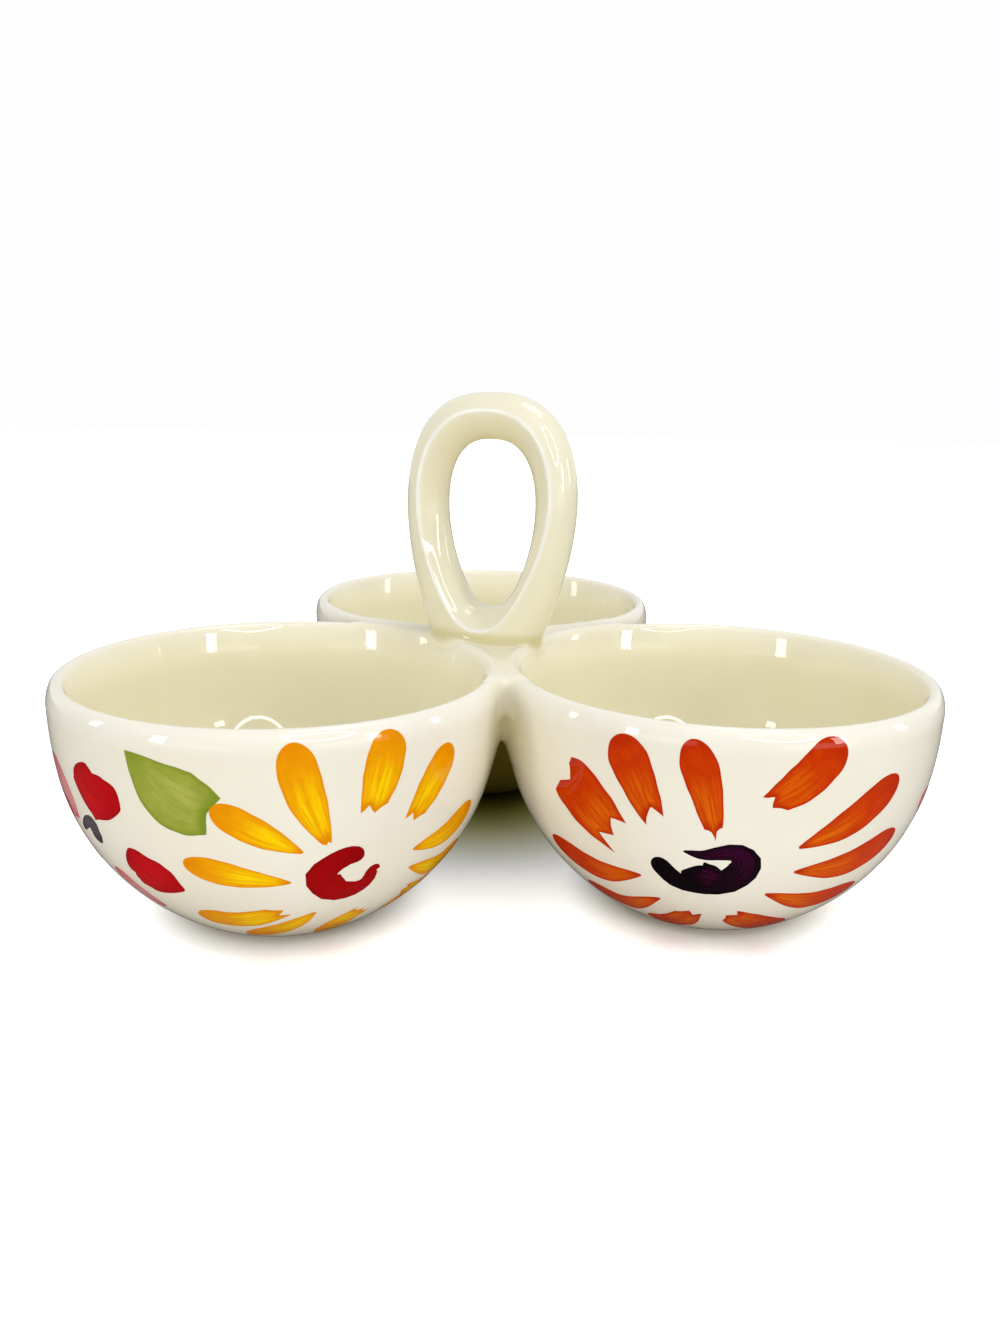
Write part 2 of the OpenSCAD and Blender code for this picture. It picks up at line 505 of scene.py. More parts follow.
def plateDistance(co):
    j = jointShape
    z = co[:, 2]
    middle = j["plateTop"] - j["plateThick"] / 2
    flat = np.abs(z - middle) - j["plateThick"] / 2
    flatGrad = np.zeros_like(co)
    flatGrad[:, 2] = np.sign(z - middle)
    away = co[:, :2] - np.array(hub)
    far = np.maximum(np.linalg.norm(away, axis=1), tiny)
    endGrad = np.zeros_like(co)
    endGrad[:, :2] = away / far[:, None]
    low, grad = softMin(-flat, plateRadius - far, j["edgeRound"], -flatGrad, -endGrad)
    d, g = -low, -grad
    for name in bowlNames:
        off = co[:, :2] - np.array(axes[name])
        r = np.maximum(np.linalg.norm(off, axis=1), tiny)
        side = bowlShape["radius"] - j["underLip"] - r
        sideGrad = np.zeros_like(co)
        sideGrad[:, :2] = -off / r[:, None]
        nearer = side > d
        d = np.where(nearer, side, d)
        g = np.where(nearer[:, None], sideGrad, g)
    return d, g


def handleDistance(co):
    d = np.full(len(co), 1.0)
    g = np.zeros_like(co)
    g[:, 2] = 1
    spread = np.hypot(co[:, 0] - hub.x, co[:, 1] - hub.y)
    for i in np.nonzero(spread < jointShape["keepOut"])[0]:
        near, normal, index, far = handleTree.find_nearest(Vector(co[i]))
        away = Vector(co[i]) - near
        sign = 1.0 if away.dot(normal) > 0 else -1.0
        d[i] = sign * far
        g[i] = away.normalized() * sign if far > tiny else normal
    return d, g


def blendedDistance(co):
    # Distance to the softly blended surface and its gradient, and the distance to the plain pieces
    j = jointShape
    plain = None
    for name in bowlNames:
        d, g = bowlDistance(co, name)
        if plain is None:
            plain, soft, grad = d, d, g
        else:
            plain = np.minimum(plain, d)
            soft, grad = softMin(soft, d, j["bowlBlend"], grad, g)
    d, g = plateDistance(co)
    soft, grad = softMin(soft, d, j["plateBlend"], grad, g)
    d, g = handleDistance(co)
    plain = np.minimum(plain, d)
    soft, grad = softMin(soft, d, j["rootBlend"], grad, g)
    return soft, grad, plain


def plateEdge(direction):
    # How far the plate reaches from the hub in a direction, before it is under a bowl's lip
    reach = plateRadius
    inner = bowlShape["radius"] - jointShape["underLip"]
    for name in bowlNames:
        along = direction.dot(axes[name] - hub)
        room = inner ** 2 - bowlReach ** 2 + along ** 2
        if along > 0 and room > 0:
            reach = min(reach, along - math.sqrt(room))
    return reach


def keepPart(whole, piece, cuts):
    # Adds what planes leave of a piece
    bm = bmesh.new()
    bm.from_mesh(piece.data)
    for place, normal in cuts:
        cutAway(bm, place, normal)
    part = bpy.data.meshes.new("part")
    bm.to_mesh(part)
    bm.free()
    whole.from_mesh(part)


def jointBlank():
    j = jointShape
    whole = bmesh.new()
    for name in bowlNames:
        outward = (axes[name] - hub).normalized()
        edge = hub + outward * j["keepOut"]
        keepPart(whole, bowls[name], [
            ((edge.x, edge.y, 0), (outward.x, outward.y, 0)), ((0, 0, j["keepAbove"]), (0, 0, -1)),
        ])
    keepPart(whole, handlePiece, [((0, 0, j["keepHandle"]), (0, 0, 1))])
    # The plate, and a fin in each crevice
    plate = bmesh.ops.create_circle(whole, cap_ends=True, segments=j["plateSteps"], radius=1)["verts"]
    for v in plate:
        v.co.xy *= plateEdge(v.co.xy)
    bmesh.ops.translate(whole, verts=plate, vec=(hub.x, hub.y, j["plateTop"] - j["plateThick"]))
    top = extrudeFaces(whole, list(plate[0].link_faces))
    bmesh.ops.translate(whole, verts=top, vec=(0, 0, j["plateThick"]))
    for turn in j["finAngles"]:
        fin = bmesh.ops.create_circle(whole, cap_ends=True, segments=j["finSteps"], radius=1)["verts"]
        for v in fin:
            v.co.y = min(v.co.y, 0)
        bmesh.ops.scale(whole, verts=fin, vec=(j["finReach"], j["finDeep"], 1))
        bmesh.ops.rotate(whole, verts=fin, cent=(0, 0, 0), matrix=Matrix.Rotation(math.pi / 2, 3, "X"))
        bmesh.ops.translate(whole, verts=fin, vec=(neck, -j["finThick"] / 2, j["plateTop"] - j["finTop"]))
        grown = extrudeFaces(whole, list(fin[0].link_faces))
        bmesh.ops.translate(whole, verts=grown, vec=(0, j["finThick"], 0))
        placed = Matrix.Translation((hub.x, hub.y, 0)) @ Matrix.Rotation(math.radians(turn), 4, "Z")
        bmesh.ops.transform(whole, verts=list(fin) + grown, matrix=placed)
    bmesh.ops.recalc_face_normals(whole, faces=whole.faces)
    blank = newObject("jointBlank", whole, smooth=False)
    remesh = blank.modifiers.new("remesh", "REMESH")
    remesh.mode = "VOXEL"
    remesh.voxel_size = j["voxel"]
    bpy.context.view_layer.update()
    fine = bpy.data.meshes.new_from_object(blank.evaluated_get(bpy.context.evaluated_depsgraph_get()))
    bpy.data.objects.remove(blank)
    return fine


def onCut(co):
    # Vertices on the blank's cut faces, which lie out of sight inside the walls and the handle
    j = jointShape
    still = (co[:, 2] < j["keepAbove"] + j["voxel"]) | (co[:, 2] > j["keepHandle"] - j["voxel"])
    for name in bowlNames:
        outward = np.array((axes[name] - hub).normalized())
        still |= (co[:, :2] - np.array(hub)) @ outward > j["keepOut"] - j["voxel"]
    return still


def buildJoint():
    j = jointShape
    bm = bmesh.new()
    bm.from_mesh(jointBlank())
    for done in range(j["rounds"]):
        co = np.array([v.co for v in bm.verts])
        soft, grad, plain = blendedDistance(co)
        # On the plain pieces the skin lies just under their surface, so that it runs out without an edge
        wanted = -j["sink"] * (1 - smoothStep(plain - soft, 0, j["merge"]))
        step = np.clip(wanted - soft, -j["longestStep"], j["longestStep"])
        step[onCut(co)] = 0
        length = np.maximum(np.linalg.norm(grad, axis=1), j["leastSlope"])
        co += grad * (step / length ** 2)[:, None]
        for v, place in zip(bm.verts, co):
            v.co = place
        if done < j["smoothRounds"]:
            bmesh.ops.smooth_vert(
                bm, verts=bm.verts, factor=j["smoothBy"], use_axis_x=True, use_axis_y=True, use_axis_z=True,
            )
    return newObject("saddleAndWebs", bm)


jointPiece = placePiece(buildJoint(), ["saddle", "web_front", "web_left", "web_right"])
addGlazeMasks(jointPiece, bowlNames, handleTree)
addGlazeMasks(handlePiece, [], handleTree)
print("saddle blended")

# Camera: where the photograph was taken from, in metres and radians
cameraView = {
    "place": (-0.02508, -0.37764, 0.15635),
    "yaw": 0.0754,
    "pitch": 0.2507,
    "roll": 0.0216,
    "focalPixels": 1114,
    "imageSize": (1000, 1333),
    "sensor": 36,
}


def cameraAxes():
    c = cameraView
    level = math.cos(c["pitch"])
    ahead = Vector((math.sin(c["yaw"]) * level, math.cos(c["yaw"]) * level, -math.sin(c["pitch"])))
    right = Vector((math.cos(c["yaw"]), -math.sin(c["yaw"]), 0))
    up = right.cross(ahead)
    cosRoll, sinRoll = math.cos(c["roll"]), math.sin(c["roll"])
    return right * cosRoll + up * sinRoll, up * cosRoll - right * sinRoll, ahead


def addCamera():
    c = cameraView
    data = bpy.data.cameras.new("camera")
    data.sensor_width = c["sensor"]
    data.lens = c["focalPixels"] / max(c["imageSize"]) * c["sensor"]
    data.clip_start = 0.01
    right, up, ahead = cameraAxes()
    camera = bpy.data.objects.new("camera", data)
    camera.matrix_world = Matrix((right, up, -ahead)).transposed().to_4x4()
    camera.location = c["place"]
    bpy.context.scene.collection.objects.link(camera)
    bpy.context.scene.camera = camera


addCamera()

# Materials
def srgb(r, g, b):
    channels = [c / 255 for c in (r, g, b)]
    linear = [c / 12.92 if c <= 0.04045 else ((c + 0.055) / 1.055) ** 2.4 for c in channels]
    return (*linear, 1)


def makeGroup(name, inputs, outputs):
    tree = bpy.data.node_groups.new(name, "ShaderNodeTree")
    for label, kind, value in inputs:
        socket = tree.interface.new_socket(label, in_out="INPUT", socket_type=kind)
        socket.default_value = value
    for label, kind in outputs:
        tree.interface.new_socket(label, in_out="OUTPUT", socket_type=kind)
    return tree, tree.nodes.new("NodeGroupInput"), tree.nodes.new("NodeGroupOutput")


def addNode(tree, kind, values=(), **settings):
    node = tree.nodes.new(kind)
    for key, value in settings.items():
        setattr(node, key, value)
    for key, value in dict(values).items():
        node.inputs[key].default_value = value
    return node


def feed(tree, socket, value):
    # Links a socket to another one, or sets it to a plain value
    if isinstance(value, bpy.types.NodeSocket):
        tree.links.new(value, socket)
    else:
        socket.default_value = value


def mixColour(tree, factor, a, b):
    node = addNode(tree, "ShaderNodeMix", data_type="RGBA")
    for index, value in ((0, factor), (6, a), (7, b)):
        feed(tree, node.inputs[index], value)
    return node.outputs[2]


def doMath(tree, operation, *values, clamp=False):
    node = addNode(tree, "ShaderNodeMath", operation=operation, use_clamp=clamp)
    for index, value in enumerate(values):
        feed(tree, node.inputs[index], value)
    return node.outputs[0]


def mapRange(tree, value, fromMin, fromMax, toMin=0, toMax=1, course="SMOOTHSTEP"):
    node = addNode(tree, "ShaderNodeMapRange", {
        "From Min": fromMin, "From Max": fromMax, "To Min": toMin, "To Max": toMax,
    }, interpolation_type=course)
    feed(tree, node.inputs["Value"], value)
    return node.outputs[0]


def addNoise(tree, where, scale, detail, roughness=0.5):
    node = addNode(tree, "ShaderNodeTexNoise", {"Scale": scale, "Detail": detail, "Roughness": roughness})
    tree.links.new(where, node.inputs["Vector"])
    return node.outputs["Fac"]


def objectPlace(tree):
    return addNode(tree, "ShaderNodeTexCoord").outputs["Object"]


def attributes(tree, keys):
    return [addNode(tree, "ShaderNodeAttribute", attribute_name=key).outputs["Fac"] for key in keys]


# Each noise has its scale, detail and roughness
glazeTexture = {
    "cloud": (28, 3, 0.55),
    "speck": (900, 2, 0.5),
    "wave": (26, 1.5, 0.4),
    "grain": (1500, 1, 0.5),
    "cloudRange": (0.35, 0.7),
    "speckRange": (0.70, 0.78),
    "waveRange": (0.3, 0.7),
    "grainHeight": 0.012,
    "speckColour": srgb(150, 132, 100),
    "speckShare": 0.10,
    "smoothest": 0.008,
    "roughest": 0.022,
}


def glazeGroup():
    # Fired glaze: broad clouding, fine specks, and a slow waviness for the reflections
    tree, given, out = makeGroup(
        "firedGlaze",
        [
            ("Colour", "NodeSocketColor", (1, 1, 1, 1)), ("Deep", "NodeSocketColor", (1, 1, 1, 1)),
            ("Cloud", "NodeSocketFloat", 0.3),
        ],
        [("Colour", "NodeSocketColor"), ("Roughness", "NodeSocketFloat"), ("Height", "NodeSocketFloat")],
    )
    g = glazeTexture
    where = objectPlace(tree)
    noises = [g[key] for key in ("cloud", "speck", "wave", "grain")]
    cloud, speck, wave, grain = [addNoise(tree, where, *values) for values in noises]
    soft = mapRange(tree, cloud, *g["cloudRange"], course="LINEAR")
    deep = doMath(tree, "MULTIPLY", soft, given.outputs["Cloud"])
    clouded = mixColour(tree, deep, given.outputs["Colour"], given.outputs["Deep"])
    spots = mapRange(tree, speck, *g["speckRange"], 0, g["speckShare"], course="LINEAR")
    tree.links.new(mixColour(tree, spots, clouded, g["speckColour"]), out.inputs["Colour"])
    rough = mapRange(tree, wave, *g["waveRange"], g["smoothest"], g["roughest"], course="LINEAR")
    tree.links.new(rough, out.inputs["Roughness"])
    height = doMath(tree, "ADD", wave, doMath(tree, "MULTIPLY", grain, g["grainHeight"]))
    tree.links.new(height, out.inputs["Height"])
    return tree


firedGlaze = glazeGroup()
# Each colour after the first four covers its share of the glaze where the attribute of the same name is 1
glazeLook = {
    "outside": srgb(243, 238, 222),
    "outsideDeep": srgb(235, 228, 205),
    "inside": srgb(250, 245, 219),
    "insideDeep": srgb(244, 237, 207),
    # Painted shade down the crevices between the bowls
    "creaseShade": srgb(226, 211, 136),
    "creaseShadeShare": 0.6,
    # Painted shade low between the bowls, where they face each other
    "gapShade": srgb(168, 150, 4),
    "gapShadeShare": 0.94,
    "rim": srgb(250, 246, 233),
    "rimShare": 0.8,
    "saddleTint": srgb(242, 230, 174),
    "saddleTintShare": 0.6,
    "handleTint": srgb(241, 236, 211),
    "handleTintShare": 1.0,
    # Painted shade on the downward inner face of the finger hole
    "hole": srgb(214, 203, 158),
    "holeShare": 0.8,
    "rootShade": srgb(214, 202, 140),
    "rootShadeShare": 0.65,
    # Painted highlight on the line of glaze beside the handle's foot
    "junctionHighlight": srgb(255, 246, 214),
    "junctionHighlightShare": 0.7,
    # Whiter along the handle's ridge: glaze thinned on the edge, and partly a painted highlight
    "ridge": srgb(253, 252, 247),
    "ridgeShare": 0.9,
    "cloud": 0.5,
    # The painted shade between the bowls also takes this share of the shine away
    "gapShadeDulls": 0.85,
    "shine": 0.34,
    "paintShine": 0.24,
    "waviness": 0.35 * mm,
    "bump": 0.12,
    "refraction": 1.5,
}


def startMaterial(name, kind="ShaderNodeBsdfPrincipled"):
    material = bpy.data.materials.new(name)
    material.use_nodes = True
    tree = material.node_tree
    tree.nodes.clear()
    shader = tree.nodes.new(kind)
    tree.links.new(shader.outputs[0], tree.nodes.new("ShaderNodeOutputMaterial").inputs[0])
    return material, tree, shader


def placeGroup(tree, group, values):
    node = tree.nodes.new("ShaderNodeGroup")
    node.node_tree = group
    for key, value in values.items():
        node.inputs[key].default_value = value
    return node


def addBump(tree, shader, height, strength, distance):
    bump = addNode(tree, "ShaderNodeBump", {"Strength": strength, "Distance": distance})
    tree.links.new(height, bump.inputs["Height"])
    tree.links.new(bump.outputs[0], shader.inputs["Normal"])


def finishGlazed(tree, shader, glaze, colour):
    tree.links.new(colour, shader.inputs["Base Color"])
    tree.links.new(glaze.outputs["Roughness"], shader.inputs["Roughness"])
    addBump(tree, shader, glaze.outputs["Height"], glazeLook["bump"], glazeLook["waviness"])
    shader.inputs["IOR"].default_value = glazeLook["refraction"]


def glazeMaterial(name):
    look = glazeLook
    material, tree, shader = startMaterial(name)
    outer, inner = [
        placeGroup(tree, firedGlaze, {
            "Colour": look[side], "Deep": look[side + "Deep"], "Cloud": look["cloud"],
        })
        for side in ("outside", "inside")
    ]

    def covered(colour, keys):
        for key, mask in zip(keys, attributes(tree, keys)):
            colour = mixColour(tree, doMath(tree, "MULTIPLY", mask, look[key + "Share"]), colour, look[key])
        return colour

    inside, gapShade = attributes(tree, ("inside", "gapShade"))
    # Painted shade down the crevices and low between the bowls
    colour = covered(outer.outputs["Colour"], ("creaseShade", "gapShade"))
    colour = mixColour(tree, inside, colour, inner.outputs["Colour"])
    # The finger hole's and the handle foot's painted shade, the painted highlight beside the foot, and the
    # ridge's whiter line, partly a painted highlight
    colour = covered(colour, ("rim", "saddleTint", "handleTint", "hole", "rootShade", "junctionHighlight", "ridge"))
    finishGlazed(tree, shader, outer, colour)
    # Less shine where the shade between the bowls is painted
    dulled = doMath(tree, "MULTIPLY", gapShade, look["gapShadeDulls"] * look["shine"])
    tree.links.new(doMath(tree, "SUBTRACT", look["shine"], dulled), shader.inputs["Specular IOR Level"])
    return material


bowlGlaze = glazeMaterial("bowlGlaze")
jointGlaze = glazeMaterial("jointGlaze")
handleGlaze = glazeMaterial("handleGlaze")

biscuitLook = {
    "clay": srgb(226, 212, 186),
    "stain": srgb(204, 184, 152),
    "grain": srgb(188, 168, 138),
    "grainShare": 0.4,
    "grainNoise": (900, 4, 0.7),
    "stainNoise": (90, 3),
    "bump": 0.6,
    "grainHeight": 0.2 * mm,
    "roughness": 0.85,
}


def biscuitMaterial():
    b = biscuitLook
    material, tree, shader = startMaterial("footBiscuit")
    where = objectPlace(tree)
    grain = addNoise(tree, where, *b["grainNoise"])
    stain = addNoise(tree, where, *b["stainNoise"])
    colour = mixColour(tree, stain, b["clay"], b["stain"])
    colour = mixColour(tree, doMath(tree, "MULTIPLY", grain, b["grainShare"]), colour, b["grain"])
    tree.links.new(colour, shader.inputs["Base Color"])
    addBump(tree, shader, grain, b["bump"], b["grainHeight"])
    shader.inputs["Roughness"].default_value = b["roughness"]
    return material


footBiscuit = biscuitMaterial()
for name in bowlNames:
    bowls[name].data.materials.append(bowlGlaze)
    bpy.data.objects["footRing" + name.capitalize()].data.materials.append(footBiscuit)
jointPiece.data.materials.append(jointGlaze)
handlePiece.data.materials.append(handleGlaze)
print("materials made")

# Painted flowers: each stroke is a thin closed skin of colour that lies on a bowl's outside
outerCurve = profile[2:insideStart]
curveLength = np.concatenate([[0], np.cumsum(np.hypot(*np.diff(outerCurve, axis=0).T))])
strokeShape = {
    "alongSteps": 32,
    "acrossSteps": 24,
    "lift": 0.05 * mm,
    "into": 0.2 * mm,
    "edgeWobble": 0.02,
    "daubWobble": 0.05,
    "slowWaves": 11,
    "quickWaves": 27,
    "quickShare": 0.6,
    "topRoom": 1.0 * mm,
    "sharpFrom": 40,
}
strokeLayers = ("strokeAlong", "strokeAcross", "strokeTone")
roundTurn = 6.28


def curveAt(up):
    # The radius and height at a length up the wall, and how far its normal points outwards and upwards
    near = 0.6 * mm
    r, before, after = [np.interp(up + step, curveLength, outerCurve[:, 0]) for step in (0, -near, near)]
    z, below, above = [np.interp(up + step, curveLength, outerCurve[:, 1]) for step in (0, -near, near)]
    size = np.hypot(after - before, above - below)
    return r, z, (above - below) / size, (before - after) / size


def skinPoints(name, turn, up, lift):
    r, z, outward, upward = curveAt(up)
    r = r + outward * lift
    x = axes[name].x + r * np.cos(turn)
    y = axes[name].y + r * np.sin(turn)
    return np.stack([x, y, z + upward * lift], 1)


bowlTrees = {name: treeOf(bowls[name]) for name in bowlNames}
bowlMiddles = {"left": (268, 790), "right": (722, 790)}  # Pixels in the middle of each front bowl
mostNudges = 24


def fromPixel(name, pixel):
    # The place on a bowl that a pixel of the photograph shows, as a turn about its axis and a length up its
    # wall. A pixel just beside the bowl is moved towards its middle.
    c = cameraView
    right, up, ahead = cameraAxes()
    place = Vector(pixel)
    inward = (Vector(bowlMiddles[name]) - place).normalized()
    for nudge in range(mostNudges):
        x, y = (place - Vector(c["imageSize"]) / 2) / c["focalPixels"]
        toward = (ahead + right * x - up * y).normalized()
        hit = bowlTrees[name].ray_cast(Vector(c["place"]), toward)[0]
        if hit:
            turn = math.atan2(hit.y - axes[name].y, hit.x - axes[name].x)
            return turn, float(np.interp(hit.z, outerCurve[:, 1], curveLength))
        place += inward


def splineAt(points, t):
    # A smooth curve through the points
    points = np.array(points)
    last = len(points) - 1
    i = np.minimum((t * last).astype(int), last - 1)
    f = (t * last - i)[:, None]
    longer = np.vstack([2 * points[0] - points[1], points, 2 * points[-1] - points[-2]])
    a, b, c, d = [longer[i + step] for step in range(4)]
    bend = (2 * a - 5 * b + 4 * c - d) * f ** 2 + (3 * b - a - 3 * c + d) * f ** 3
    return 0.5 * (2 * b + (c - a) * f + bend)


def petalWidth(t, heel):
    # Widens from the heel, and ends round
    widest, fullness, roundness = 0.70, 0.85, 2.1
    rising = heel + (1 - heel) * np.sin(math.pi / 2 * np.minimum(t / widest, 1)) ** fullness
    ending = np.sqrt(np.maximum(1 - (np.maximum(t - widest, 0) / (1 - widest)) ** roundness, 0))
    return np.where(t < widest, rising, ending)


def leafWidth(t, heel):
    # Widens quickly from the stem, and ends in a point
    widest, fullness = 0.36, 1.85
    rising = heel + (1 - heel) * np.sin(math.pi / 2 * np.minimum(t / widest, 1))
    ending = 1 - (np.maximum(t - widest, 0) / (1 - widest)) ** fullness
    return np.where(t < widest, rising, ending)


def daubWidth(t, widths):
    # Follows a list of widths, and ends round
    end = np.minimum(np.minimum(t, 1 - t) * 12, 1)
    return np.interp(t, np.linspace(0, 1, len(widths)), widths) * np.sqrt(np.maximum(1 - (1 - end) ** 2, 0))


def evenly(values, across):
    return np.interp(across, np.linspace(-1, 1, len(values)), values)


def addStroke(bm, name, path, halfWidth, seed, teeth=(0, 0), lobes=(0, 0), rougher=strokeShape["edgeWobble"]):
    # The path runs from the heel, which ends in teeth, to the tip, which ends in lobes
    shape = strokeShape
    rough = random.Random(seed)
    slow, quick = rough.uniform(0, roundTurn), rough.uniform(0, roundTurn)
    tone = rough.random()
    grid = bmesh.ops.create_grid(
        bm, x_segments=shape["alongSteps"], y_segments=shape["acrossSteps"], size=1,
    )["verts"]
    flat = np.array([v.co for v in grid])
    across = flat[:, 1]
    along = (1 - np.cos(math.pi * (flat[:, 0] + 1) / 2)) / 2
    t = along + evenly(teeth, across) * (1 - along) ** 3
    t = np.minimum(t - evenly(lobes, across) * t ** 4, 1)
    here = splineAt(path, t)
    ahead = splineAt(path, np.minimum(t + 0.01, 1)) - splineAt(path, np.maximum(t - 0.01, 0))
    r = curveAt(here[:, 1])[0]
    ahead[:, 0] *= r
    ahead /= np.maximum(np.linalg.norm(ahead, axis=1), tiny)[:, None]
    wobble = np.sin(shape["slowWaves"] * t + slow)
    wobble += shape["quickShare"] * np.sin(shape["quickWaves"] * t + quick + across)
    off = halfWidth(t) * across * (1 + rougher * wobble)
    turn = here[:, 0] + ahead[:, 1] * off / r
    up = np.clip(here[:, 1] - ahead[:, 0] * off, 0, curveLength[-1] - shape["topRoom"])
    alongLayer, acrossLayer, toneLayer = [bm.verts.layers.float[key] for key in strokeLayers]
    for v, place, far, aside in zip(grid, skinPoints(name, turn, up, shape["lift"]), along, across):
        v.co = place
        v[alongLayer] = far
        v[acrossLayer] = aside
        v[toneLayer] = tone
    faces = list({f for v in grid for f in v.link_faces})
    under = extrudeFaces(bm, faces)
    deep = shape["lift"] + shape["into"]
    co = np.array([v.co for v in under])
    outward, upward = curveAt(np.interp(co[:, 2], outerCurve[:, 1], curveLength))[2:]
    sideways = co[:, :2] - np.array(axes[name])
    sideways /= np.linalg.norm(sideways, axis=1)[:, None]
    co[:, :2] -= sideways * (outward * deep)[:, None]
    co[:, 2] -= upward * deep
    for v, place in zip(under, co):
        v.co = place


def startPaint():
    bm = bmesh.new()
    for key in strokeLayers:
        bm.verts.layers.float.new(key)
    return bm


def finishPaint(name, bm, paint):
    bmesh.ops.remove_doubles(bm, verts=bm.verts, dist=mergeWithin)
    bmesh.ops.recalc_face_normals(bm, faces=bm.faces)
    piece = newObject(name, bm)
    piece.data.set_sharp_from_angle(angle=math.radians(strokeShape["sharpFrom"]))
    piece.data.materials.append(paints[paint])
    placePiece(piece)


# Where each part of a stroke's colour starts and is full, as shares of its length and half width
paintTexture = {
    "streaks": (1.0, 4, 0.62),
    "clouds": (220, 3, 0.6),
    "streakScales": (1.5, 4.6, 60),
    "streakRange": (0.40, 0.60),
    "streakShare": 0.9,
    "plainShare": 0.22,
    "brightReach": (0.46, 0.04),
    "sidePower": 2.4,
    "cloudRange": (0.35, 0.65),
    "cloudShare": 0.35,
    "edge": (0.80, 1.0),
    "edgeShare": 0.6,
    "tip": (0.74, 0.98),
    "heel": (0.16, 0.02),
    "heelShare": 0.75,
    "gatherLeast": 0.5,
}


def paintGroup():
    # Brushed colour: bright streaks run along the stroke, and the paint gathers at its edge, heel and tip
    tree, given, out = makeGroup(
        "brushedPaint",
        [
            ("Body", "NodeSocketColor", (1, 0.5, 0, 1)), ("Bright", "NodeSocketColor", (1, 0.8, 0, 1)),
            ("Edge", "NodeSocketColor", (0.5, 0.2, 0, 1)), ("BrightAt", "NodeSocketFloat", 0.3),
            ("BrightShare", "NodeSocketFloat", 0.9), ("TipShare", "NodeSocketFloat", 0.5),
        ],
        [("Colour", "NodeSocketColor")],
    )
    p = paintTexture
    along, across, tone = attributes(tree, strokeLayers)
    aside = doMath(tree, "ABSOLUTE", across)
    streakAt = addNode(tree, "ShaderNodeCombineXYZ")
    for socket, value, scale in zip(streakAt.inputs, (along, across, tone), p["streakScales"]):
        tree.links.new(doMath(tree, "MULTIPLY", value, scale), socket)
    streak = addNoise(tree, streakAt.outputs[0], *p["streaks"])
    cloud = addNoise(tree, objectPlace(tree), *p["clouds"])
    near = doMath(tree, "ABSOLUTE", doMath(tree, "SUBTRACT", along, given.outputs["BrightAt"]))
    zone = mapRange(tree, near, *p["brightReach"])
    side = doMath(tree, "SUBTRACT", 1, doMath(tree, "POWER", aside, p["sidePower"]))
    bright = doMath(tree, "MULTIPLY", zone, side)
    streaked = doMath(tree, "MULTIPLY", mapRange(tree, streak, *p["streakRange"]), p["streakShare"])
    bright = doMath(tree, "MULTIPLY", bright, doMath(tree, "ADD", p["plainShare"], streaked))
    bright = doMath(tree, "MULTIPLY", bright, given.outputs["BrightShare"], clamp=True)
    patch = mapRange(tree, cloud, *p["cloudRange"], 0, p["cloudShare"])
    colour = mixColour(tree, patch, given.outputs["Body"], given.outputs["Edge"])
    colour = mixColour(tree, bright, colour, given.outputs["Bright"])
    edge = mapRange(tree, aside, *p["edge"], 0, p["edgeShare"])
    tip = doMath(tree, "MULTIPLY", mapRange(tree, along, *p["tip"]), given.outputs["TipShare"])
    heel = mapRange(tree, along, *p["heel"], 0, p["heelShare"])
    gathered = doMath(tree, "MAXIMUM", doMath(tree, "MAXIMUM", edge, tip), heel)
    gathered = doMath(tree, "MULTIPLY", gathered, doMath(tree, "ADD", p["gatherLeast"], streak), clamp=True)
    colour = mixColour(tree, gathered, colour, given.outputs["Edge"])
    tree.links.new(colour, out.inputs["Colour"])
    return tree


brushedPaint = paintGroup()
paintColours = {
    "yellow": {
        "Body": srgb(242, 162, 0), "Bright": srgb(254, 212, 4), "Edge": srgb(226, 130, 0),
        "BrightAt": 0.33, "BrightShare": 1.0, "TipShare": 0.6,
    },
    "orange": {
        "Body": srgb(204, 60, 0), "Bright": srgb(228, 116, 6), "Edge": srgb(180, 28, 0),
        "BrightAt": 0.24, "BrightShare": 0.68, "TipShare": 0.6,
    },
    "red": {
        "Body": srgb(186, 2, 12), "Bright": srgb(208, 14, 24), "Edge": srgb(160, 0, 8),
        "BrightAt": 0.5, "BrightShare": 0.6, "TipShare": 0.4,
    },
    "crimson": {
        "Body": srgb(158, 0, 3), "Bright": srgb(176, 4, 10), "Edge": srgb(138, 0, 4),
        "BrightAt": 0.6, "BrightShare": 0.5, "TipShare": 0.3,
    },
    "pink": {
        "Body": srgb(226, 130, 132), "Bright": srgb(238, 170, 168), "Edge": srgb(212, 88, 96),
        "BrightAt": 0.45, "BrightShare": 0.9, "TipShare": 0.5,
    },
    "green": {
        "Body": srgb(156, 164, 62), "Bright": srgb(178, 182, 90), "Edge": srgb(116, 136, 32),
        "BrightAt": 0.42, "BrightShare": 0.85, "TipShare": 0.55,
    },
    "dark": {
        "Body": srgb(8, 0, 6), "Bright": srgb(60, 2, 42), "Edge": srgb(4, 0, 3),
        "BrightAt": 0.72, "BrightShare": 0.75, "TipShare": 0.3,
    },
    "grey": {
        "Body": srgb(70, 62, 68), "Bright": srgb(112, 102, 106), "Edge": srgb(46, 40, 46),
        "BrightAt": 0.5, "BrightShare": 0.8, "TipShare": 0.3,
    },
}


paintSlots = {colour: "paint_" + colour for colour in paintColours}
paintSlots["grey"] = "paint_dark"
paintSlots["crimson"] = "paint_red"


def paintMaterial(colour):
    material, tree, shader = startMaterial(colour + "Paint")
    brushed = placeGroup(tree, brushedPaint, paintColours[colour])
    over = placeGroup(tree, firedGlaze, {})
    finishGlazed(tree, shader, over, brushed.outputs[0])
    shader.inputs["Specular IOR Level"].default_value = glazeLook["paintShine"]
    return material


paints = {colour: paintMaterial(colour) for colour in paintColours}

